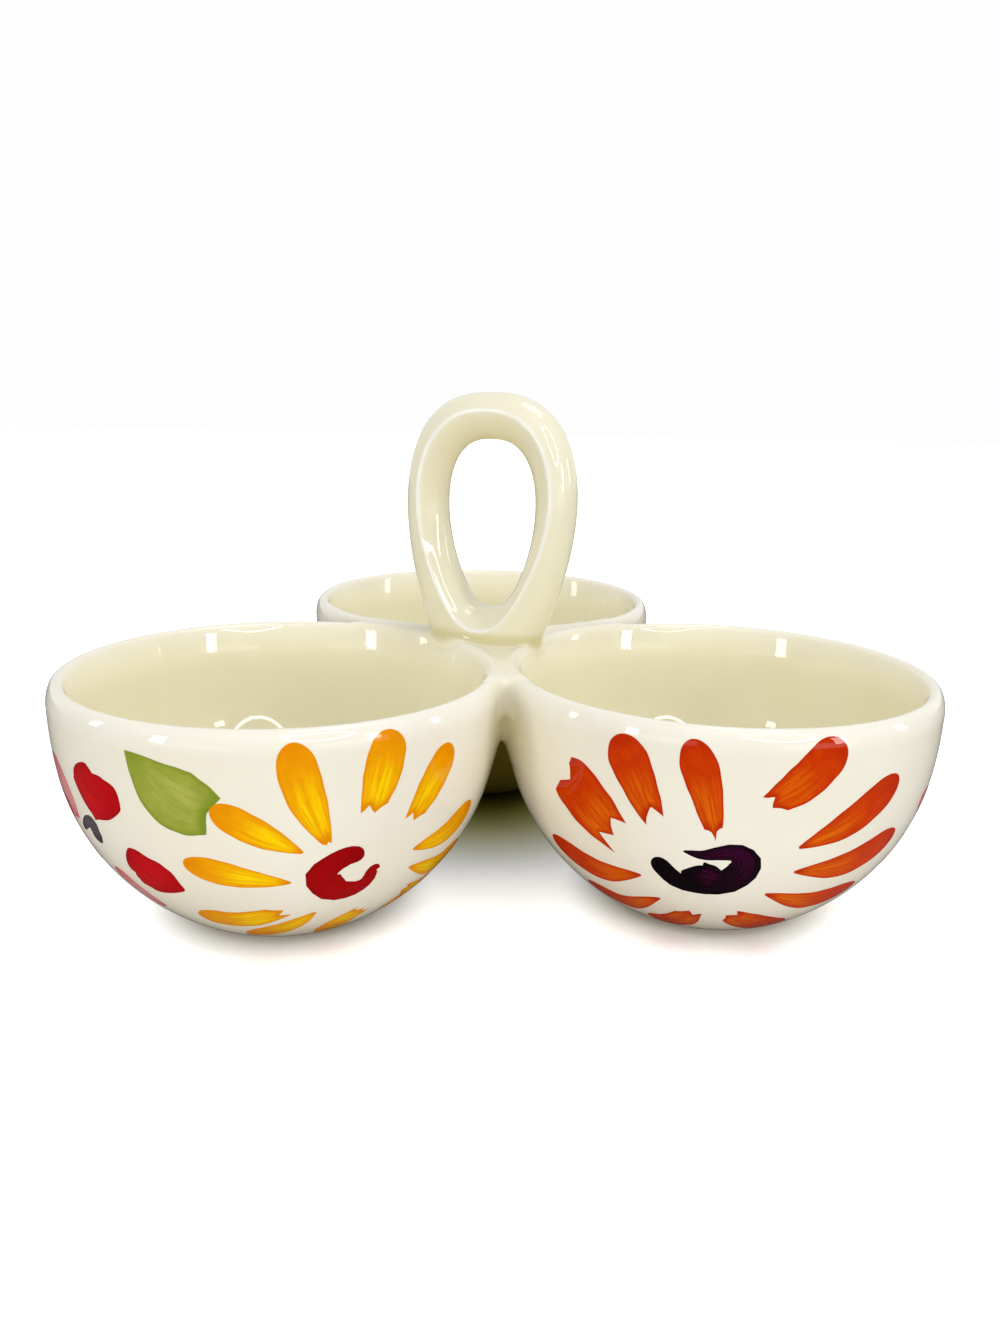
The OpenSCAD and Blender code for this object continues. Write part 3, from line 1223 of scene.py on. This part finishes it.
# A petal's width is in millimetres, and its places are pixels of the photograph. Teeth and lobes are shares
# of its length that are bare at its heel and its tip, across the stroke from one edge to the other.
pointedHeel = {"heelShare": 0.06}
bluntHeel = {"heelShare": 0.17, "teeth": (0.03, 0.0, 0.03, 0.0)}
tailHeel = {"heelShare": 0.24, "teeth": (0.12, 0.11, 0.09, 0.0, 0.09, 0.11, 0.12)}
deepTooth = {"heelShare": 0.44, "teeth": (0.0, 0.06, 0.12, 0.18, 0.11, 0.05)}
twoTeeth = {"heelShare": 0.52, "teeth": (0.0, 0.04, 0.11, 0.05, 0.02, 0.10, 0.15)}
threeTeeth = {"heelShare": 0.66, "teeth": (0.0, 0.10, 0.12, 0.01, 0.10, 0.12, 0.02)}
yellowDaisy = [
    {"heel": (328, 845), "bend": (306, 797), "tip": (290, 743), "wide": 10.4, **bluntHeel},
    {"heel": (371, 814), "bend": (383, 774), "tip": (391, 729), "wide": 11.0, **twoTeeth},
    {"heel": (411, 821), "bend": (432, 784), "tip": (451, 743), "wide": 9.4, **twoTeeth},
    {"heel": (413, 849), "bend": (447, 831), "tip": (471, 802), "wide": 9.6, **pointedHeel},
    {"heel": (409, 867), "bend": (436, 862), "tip": (461, 841), "wide": 10.0, **pointedHeel},
    {"heel": (402, 889), "bend": (416, 885), "tip": (432, 874), "wide": 8.2, **twoTeeth},
    {"heel": (383, 908), "bend": (394, 901), "tip": (408, 891), "wide": 7.6, **threeTeeth},
    {"heel": (303, 853), "bend": (258, 834), "tip": (210, 808), "wide": 8.4, **pointedHeel},
    {"heel": (291, 883), "bend": (236, 877), "tip": (183, 862), "wide": 8.6, **pointedHeel},
    {"heel": (287, 911), "bend": (242, 920), "tip": (199, 914), "wide": 10.2, **twoTeeth},
    {"heel": (316, 912), "bend": (286, 927), "tip": (250, 934), "wide": 8.2, **pointedHeel},
    {"heel": (365, 907), "bend": (342, 920), "tip": (320, 931), "wide": 9.0, **threeTeeth},
]
orangeDaisy = [
    {
        "heel": (625, 847), "bend": (589, 806), "tip": (559, 761), "wide": 17.4, "heelShare": 0.52,
        "teeth": (0.0, 0.12, 0.26, 0.20, 0.15, 0.24, 0.30, 0.24, 0.18),
        "lobes": (0.17, 0.14, 0.20, 0.08, 0.05),
    },
    {"heel": (655, 823), "bend": (636, 778), "tip": (618, 734), "wide": 11.2, **deepTooth},
    {"heel": (716, 841), "bend": (705, 787), "tip": (691, 739), "wide": 9.4, **tailHeel},
    {"heel": (769, 806), "bend": (808, 780), "tip": (843, 740), "wide": 11.4, **twoTeeth},
    {"heel": (799, 848), "bend": (852, 821), "tip": (899, 776), "wide": 10.4, **pointedHeel},
    {"heel": (794, 872), "bend": (848, 863), "tip": (895, 831), "wide": 10.8, **pointedHeel},
    {"heel": (765, 894), "bend": (810, 900), "tip": (853, 884), "wide": 10.0, **pointedHeel},
    {"heel": (728, 914), "bend": (750, 922), "tip": (773, 925), "wide": 12.4, **twoTeeth},
    {"heel": (693, 911), "bend": (676, 920), "tip": (653, 917), "wide": 10.6, **twoTeeth},
    {"heel": (660, 898), "bend": (626, 901), "tip": (589, 881), "wide": 9.6, **pointedHeel},
    {"heel": (641, 875), "bend": (596, 868), "tip": (553, 837), "wide": 10.8, **pointedHeel},
]
pinkPetals = [
    {"heel": (78, 817), "bend": (67, 790), "tip": (52, 752), "wide": 8.0, "heelShare": 0.5},
    {"heel": (166, 906), "bend": (140, 889), "tip": (115, 866), "wide": 7.0, "heelShare": 0.5},
]
leftLeaf = {
    "heel": (213, 817), "bend": (167, 795), "tip": (124, 750), "wide": 18.0, "heelShare": 0.62,
    "teeth": (0.0, 0.02, 0.05, 0.07, 0.05, 0.02, 0.0),
}
# A daub's widths are in millimetres, spread evenly along its places
yellowMiddle = {
    "widths": (4.6, 6.4, 7.6, 9.0, 8.6, 6.8, 4.8, 3.4, 1.8),
    "places": (
        (364, 856), (350, 856), (333, 864), (322, 877), (333, 890),
        (352, 889), (366, 881), (373, 869), (380, 866),
    ),
}
orangeMiddle = [
    {
        "widths": (6.2, 6.0, 6.8, 8.2, 8.8, 8.8, 8.0, 6.4, 4.6, 3.0, 1.4),
        "places": (
            (655, 857), (665, 870), (680, 882), (702, 885), (726, 883), (741, 873),
            (745, 861), (736, 853), (718, 854), (702, 855), (683, 851),
        ),
    },
    {"widths": (6.0, 8.6, 9.4, 7.0), "places": ((691, 867), (696, 873), (707, 876), (720, 881))},
]
redDaubs = [
    {
        "widths": (7.0, 9.8, 11.5, 15.0, 16.5, 14.0, 8.0),
        "places": ((77, 763), (81, 773), (85, 783), (93, 794), (101, 803), (107, 811), (112, 819)),
    },
    {
        "widths": (8.5, 12.0, 14.5, 14.5, 11.0),
        "places": ((126, 856), (138, 864), (150, 874), (162, 884), (171, 893)),
    },
]
greyHook = {
    "widths": (2.0, 3.0, 4.2, 5.0, 3.6),
    "places": ((85, 828), (87, 822), (92, 822), (96, 832), (100, 842)),
}


def paintPetals(name, bowl, petals, paint, seed, widthAt=petalWidth):
    bm = startPaint()
    for index, petal in enumerate(petals):
        path = [fromPixel(bowl, petal[key]) for key in ("heel", "bend", "tip")]
        half = petal["wide"] * mm / 2
        addStroke(
            bm, bowl, path, lambda t: half * widthAt(t, petal["heelShare"]), seed + index,
            petal.get("teeth", (0, 0)), petal.get("lobes", (0, 0)),
        )
    finishPaint(name, bm, paint)


def paintDaubs(name, bowl, daubs, paint, seed):
    bm = startPaint()
    for index, daub in enumerate(daubs):
        path = [fromPixel(bowl, place) for place in daub["places"]]
        addStroke(
            bm, bowl, path, lambda t: daubWidth(t, daub["widths"]) * mm / 2, seed + index,
            rougher=strokeShape["daubWobble"],
        )
    finishPaint(name, bm, paint)


paintPetals("yellowDaisyPetals", "left", yellowDaisy, "yellow", 10)
paintDaubs("yellowDaisyMiddle", "left", [yellowMiddle], "crimson", 60)
paintPetals("orangeDaisyPetals", "right", orangeDaisy, "orange", 30)
paintDaubs("orangeDaisyMiddle", "right", orangeMiddle, "dark", 64)
paintDaubs("redFlowerPetals", "left", redDaubs, "red", 70)
paintPetals("redFlowerPinkPetals", "left", pinkPetals, "pink", 74)
paintDaubs("redFlowerMiddle", "left", [greyHook], "grey", 78)
paintPetals("leftLeaf", "left", [leftLeaf], "green", 80, leafWidth)

# The sides that the photograph doesn't show carry more flowers of the same kinds. Each has its bowl, its turn
# about the bowl's axis in degrees, its length up the wall in millimetres, the paints of its petals and its
# middle, the number of its petals and the seed of its random draws.
unseenDaisies = {
    "leftBackDaisy": ("left", 128, 42, "orange", "dark", 11, 200),
    "rightSideDaisy": ("right", -4, 46, "pink", "grey", 9, 220),
    "rightBackDaisy": ("right", 78, 40, "yellow", "crimson", 11, 240),
    "rearRightDaisy": ("rear", 6, 42, "orange", "dark", 11, 260),
    "rearDaisy": ("rear", 92, 44, "yellow", "crimson", 12, 280),
    "rearLeftDaisy": ("rear", 178, 40, "pink", "grey", 9, 300),
}
# Sizes in millimetres
daisySize = {
    "inner": 13,
    "outer": 38,
    "wide": 9.6,
    "lowest": 6,
    "highest": 9,
    "hookReach": 4.6,
    "hookTurn": 0.62,
    "hookWidths": (3, 5, 7, 7.6, 7, 6, 5, 3.6, 2),
}
# Each leaf's bowl, turn, length up the wall, lean in degrees, own length and seed
unseenLeaves = {
    "leftBackLeaf": ("left", 172, 66, 150, 26, 400),
    "rightBackLeaf": ("right", 42, 70, 20, 25, 401),
    "rearRightLeaf": ("rear", 48, 70, 155, 26, 402),
    "rearLeftLeaf": ("rear", 136, 68, 25, 25, 403),
}
unseenLeafShare = 0.8
unseenPetals = {
    "bowl": "left",
    "near": (90, 833),
    "angles": (165, 212),
    "inner": 9,
    "outer": 27,
    "widths": (7.5, 12.5, 13.75, 11.25, 6.25),
    "seed": 90,
}


def around(bowl, turn, up, angle, reach):
    # A place on the bowl, from a flower's middle along an angle, kept between the foot and the lip
    low = daisySize["lowest"] * mm
    high = curveLength[-1] - daisySize["highest"] * mm
    rise = reach * math.sin(angle)
    if not low < up + rise < high:
        reach *= (min(max(up + rise, low), high) - up) / rise
    return turn + reach * math.cos(angle) / curveAt(up)[0], up + reach * math.sin(angle)


def paintUnseenDaisy(name, bowl, turn, up, paint, middle, petals, seed):
    rough = random.Random(seed)
    turn, up = math.radians(turn), up * mm
    bm = startPaint()
    for index in range(petals):
        angle = 2 * math.pi * (index + rough.uniform(-0.18, 0.18)) / petals
        inner = daisySize["inner"] * rough.uniform(0.85, 1.2) * mm
        outer = daisySize["outer"] * rough.uniform(0.88, 1.06) * mm
        swing = rough.uniform(-0.06, 0.06)
        path = [
            around(bowl, turn, up, angle, inner),
            around(bowl, turn, up, angle + swing, (inner + outer) / 2),
            around(bowl, turn, up, angle, outer),
        ]
        ends = rough.choice((pointedHeel, pointedHeel, twoTeeth, threeTeeth))
        half = daisySize["wide"] * rough.uniform(0.88, 1.12) * mm / 2
        addStroke(
            bm, bowl, path, lambda t: half * petalWidth(t, ends["heelShare"]), seed + index,
            ends.get("teeth", (0, 0)),
        )
    finishPaint(name + "Petals", bm, paint)
    bm = startPaint()
    start = rough.uniform(0, roundTurn)
    widths = daisySize["hookWidths"]
    path = [
        around(bowl, turn, up, start + step * daisySize["hookTurn"], daisySize["hookReach"] * mm)
        for step in range(len(widths))
    ]
    addStroke(bm, bowl, path, lambda t: daubWidth(t, widths) * mm / 2, seed + 50)
    finishPaint(name + "Middle", bm, middle)


def paintUnseenLeaf(name, bowl, turn, up, lean, long, seed):
    bm = startPaint()
    turn, up, lean, long = math.radians(turn), up * mm, math.radians(lean), long * mm
    bends = ((math.pi, 0.5), (0.3, 0.06), (0, 0.5))
    path = [around(bowl, turn, up, lean + bend, share * long) for bend, share in bends]
    half = leftLeaf["wide"] * unseenLeafShare * mm / 2
    addStroke(bm, bowl, path, lambda t: half * leafWidth(t, leftLeaf["heelShare"]), seed, leftLeaf["teeth"])
    finishPaint(name, bm, "green")


def paintUnseenPetals():
    u = unseenPetals
    turn, up = fromPixel(u["bowl"], u["near"])
    bm = startPaint()
    for index, angle in enumerate(u["angles"]):
        reaches = (u["inner"], (u["inner"] + u["outer"]) / 2, u["outer"])
        path = [around(u["bowl"], turn, up, math.radians(angle), reach * mm) for reach in reaches]
        addStroke(bm, u["bowl"], path, lambda t: daubWidth(t, u["widths"]) * mm / 2, u["seed"] + index)
    finishPaint("redFlowerSidePetals", bm, "red")


for name, daisy in unseenDaisies.items():
    paintUnseenDaisy(name, *daisy)
for name, leaf in unseenLeaves.items():
    paintUnseenLeaf(name, *leaf)
paintUnseenPetals()
print("flowers painted")

# Floor, lamps and background
studio = {
    "floorSize": 3.0,
    "floorColour": srgb(248, 248, 248),
    "floorInShine": srgb(100, 100, 100),
    # A painted olive shade on the paper between the bowls, full near its middle
    "floorPaintedShade": srgb(84, 78, 26),
    "paintedShadeAt": (0, 0.015),
    "paintedShadeReach": (0.066, 0.036),
    # The camera's lift of the paper is tinted olive near the hub, a painted olive shade between the bowls
    "gapShadeTint": (1.0, 0.93, 0.04, 1.0),
    "gapFade": (0.0, 0.072),
    "footShade": (0.027, 0.047),
    "hubShadeAt": (0, 0.03),
    "hubShade": (0.010, 0.100),
    "gapLift": 0.02,
    "nearLift": 0.67,
    "liftFrom": 0.18,
    "liftTo": 0.60,
    "background": 0.985,
    "ambient": 0.52,
    "glossySky": 0.10,
    "backShine": 0.85,
    "backFrom": 0.15,
    "backTo": 0.65,
    "aimHeight": 0.06,
}
# Each lamp's turn is in degrees from straight in front, to the right, and its rise is in degrees
lamps = {
    "overhead": {"turn": 72, "rise": 77, "away": 1.2, "size": (0.62, 0.46), "radiance": 5.2},
    "frontFill": {"turn": -8, "rise": 44, "away": 1.5, "size": (0.8, 0.5), "radiance": 0.7},
    "lowFillRight": {"turn": 36, "rise": 3, "away": 1.5, "size": (1.0, 0.30), "radiance": 2.0},
    "lowFillLeft": {"turn": -38, "rise": 3, "away": 1.5, "size": (1.0, 0.30), "radiance": 1.7},
    "stripRight": {"turn": 47, "rise": 12, "away": 1.4, "size": (0.16, 0.38), "radiance": 15.0},
    "stripLeft": {"turn": -52, "rise": 12, "away": 1.4, "size": (0.16, 0.38), "radiance": 15.0},
    "sideRight": {"turn": 84, "rise": 13, "away": 1.4, "size": (0.13, 0.36), "radiance": 9.0},
    "sideLeft": {"turn": -88, "rise": 13, "away": 1.4, "size": (0.13, 0.36), "radiance": 9.0},
}
shineOnly = ("sideRight", "sideLeft")  # Lamps that light nothing but are seen in the glaze
ringLamp = {
    "turn": 22, "rise": 33, "away": 1.4, "radius": 0.38, "thick": 0.026, "radiance": 20.0,
    "sides": 16, "steps": 64,
}


def lampPlace(turn, rise, away):
    turn, rise = math.radians(turn), math.radians(rise)
    flat = away * math.cos(rise)
    up = studio["aimHeight"] + away * math.sin(rise)
    return Vector((hub.x + flat * math.sin(turn), hub.y - flat * math.cos(turn), up))


def aimed(place):
    return (Vector((hub.x, hub.y, studio["aimHeight"])) - place).to_track_quat("-Z", "Y")


def addLamp(name, turn, rise, away, size, radiance):
    data = bpy.data.lights.new(name, "AREA")
    data.shape = "RECTANGLE"
    data.size, data.size_y = size
    data.energy = math.pi * size[0] * size[1] * radiance
    lamp = bpy.data.objects.new(name, data)
    lamp.location = lampPlace(turn, rise, away)
    lamp.rotation_euler = aimed(lamp.location).to_euler()
    lamp.visible_diffuse = name not in shineOnly
    bpy.context.scene.collection.objects.link(lamp)


def addRingLamp():
    bm = bmesh.new()
    rim = bmesh.ops.create_circle(bm, segments=ringLamp["sides"], radius=ringLamp["thick"])["verts"]
    bmesh.ops.rotate(bm, verts=rim, cent=(0, 0, 0), matrix=Matrix.Rotation(math.pi / 2, 3, "X"))
    bmesh.ops.translate(bm, verts=rim, vec=(ringLamp["radius"], 0, 0))
    spinRound(bm, (0, 0, 1), ringLamp["steps"])
    place = lampPlace(ringLamp["turn"], ringLamp["rise"], ringLamp["away"])
    placed = Matrix.Translation(place) @ aimed(place).to_matrix().to_4x4()
    bmesh.ops.transform(bm, verts=bm.verts, matrix=placed)
    ring = newObject("ringLamp", bm)
    material, tree, glow = startMaterial("ringGlow", "ShaderNodeEmission")
    glow.inputs["Strength"].default_value = ringLamp["radiance"]
    ring.data.materials.append(material)
    ring.visible_camera = False
    ring.visible_diffuse = False


for name, lamp in lamps.items():
    addLamp(name, **lamp)
addRingLamp()


def addFloor():
    bm = bmesh.new()
    bmesh.ops.create_grid(bm, x_segments=1, y_segments=1, size=studio["floorSize"])
    floor = newObject("floor", bm, smooth=False)
    material, tree, shader = startMaterial("floorPaper")
    shader.inputs["Roughness"].default_value = 1
    shader.inputs["Specular IOR Level"].default_value = 0
    path = addNode(tree, "ShaderNodeLightPath")
    where = objectPlace(tree)

    def awayFrom(x, y):
        node = addNode(tree, "ShaderNodeVectorMath", {1: (x, y, 0)}, operation="DISTANCE")
        tree.links.new(where, node.inputs[0])
        return node.outputs["Value"]

    # The paper is lifted to white away from the bowls, and keeps its full shadow under and between them,
    # where its own colour is also a painted olive shade
    nearest = awayFrom(*axes["left"])
    for name in ("right", "rear"):
        nearest = doMath(tree, "MINIMUM", nearest, awayFrom(*axes[name]))
    foot = mapRange(tree, nearest, *studio["footShade"])
    behind = awayFrom(*studio["hubShadeAt"])
    between = mapRange(tree, behind, *studio["hubShade"], studio["gapLift"], studio["nearLift"])
    paintedShadeShare = mapRange(tree, awayFrom(*studio["paintedShadeAt"]), *studio["paintedShadeReach"])
    colour = mixColour(tree, paintedShadeShare, studio["floorColour"], studio["floorPaintedShade"])
    colour = mixColour(tree, path.outputs["Is Glossy Ray"], colour, studio["floorInShine"])
    tree.links.new(colour, shader.inputs["Base Color"])
    far = mapRange(tree, awayFrom(0, 0), studio["liftFrom"], studio["liftTo"])
    lift = doMath(tree, "MAXIMUM", doMath(tree, "MULTIPLY", foot, between), far)
    lift = doMath(tree, "MULTIPLY", path.outputs["Is Camera Ray"], lift)
    tree.links.new(lift, shader.inputs["Emission Strength"])
    # Near the hub the lift is tinted olive, a painted olive shade between the bowls
    white = mapRange(tree, behind, *studio["gapFade"])
    tree.links.new(mixColour(tree, white, studio["gapShadeTint"], (1, 1, 1, 1)), shader.inputs["Emission Color"])
    # Seen from below, the paper is clear
    toOutput = shader.outputs[0].links[0].to_socket
    oneSided = tree.nodes.new("ShaderNodeMixShader")
    backFace = tree.nodes.new("ShaderNodeNewGeometry").outputs["Backfacing"]
    sides = (backFace, shader.outputs[0], tree.nodes.new("ShaderNodeBsdfTransparent").outputs[0])
    for socket, source in zip(oneSided.inputs, sides):
        tree.links.new(source, socket)
    tree.links.new(oneSided.outputs[0], toOutput)
    floor.data.materials.append(material)


def addSky():
    world = bpy.data.worlds.new("studio")
    bpy.context.scene.world = world
    world.use_nodes = True
    tree = world.node_tree
    tree.nodes.clear()
    path = addNode(tree, "ShaderNodeLightPath")
    seen = doMath(tree, "MULTIPLY", path.outputs["Is Camera Ray"], studio["background"] - studio["ambient"])
    toward = addNode(tree, "ShaderNodeSeparateXYZ")
    tree.links.new(addNode(tree, "ShaderNodeTexCoord").outputs["Generated"], toward.inputs[0])
    behind = mapRange(
        tree, toward.outputs["Y"], studio["backFrom"], studio["backTo"],
        studio["glossySky"] - studio["ambient"], studio["backShine"] - studio["ambient"],
    )
    shine = doMath(tree, "MULTIPLY", path.outputs["Is Glossy Ray"], behind)
    strength = doMath(tree, "ADD", doMath(tree, "ADD", seen, shine), studio["ambient"])
    sky = addNode(tree, "ShaderNodeBackground", {"Color": (1, 1, 1, 1)})
    tree.links.new(strength, sky.inputs["Strength"])
    output = tree.nodes.new("ShaderNodeOutputWorld")
    tree.links.new(sky.outputs[0], output.inputs[0])


addFloor()
addSky()
bpy.context.scene.view_settings.view_transform = "Standard"
print("studio lit")
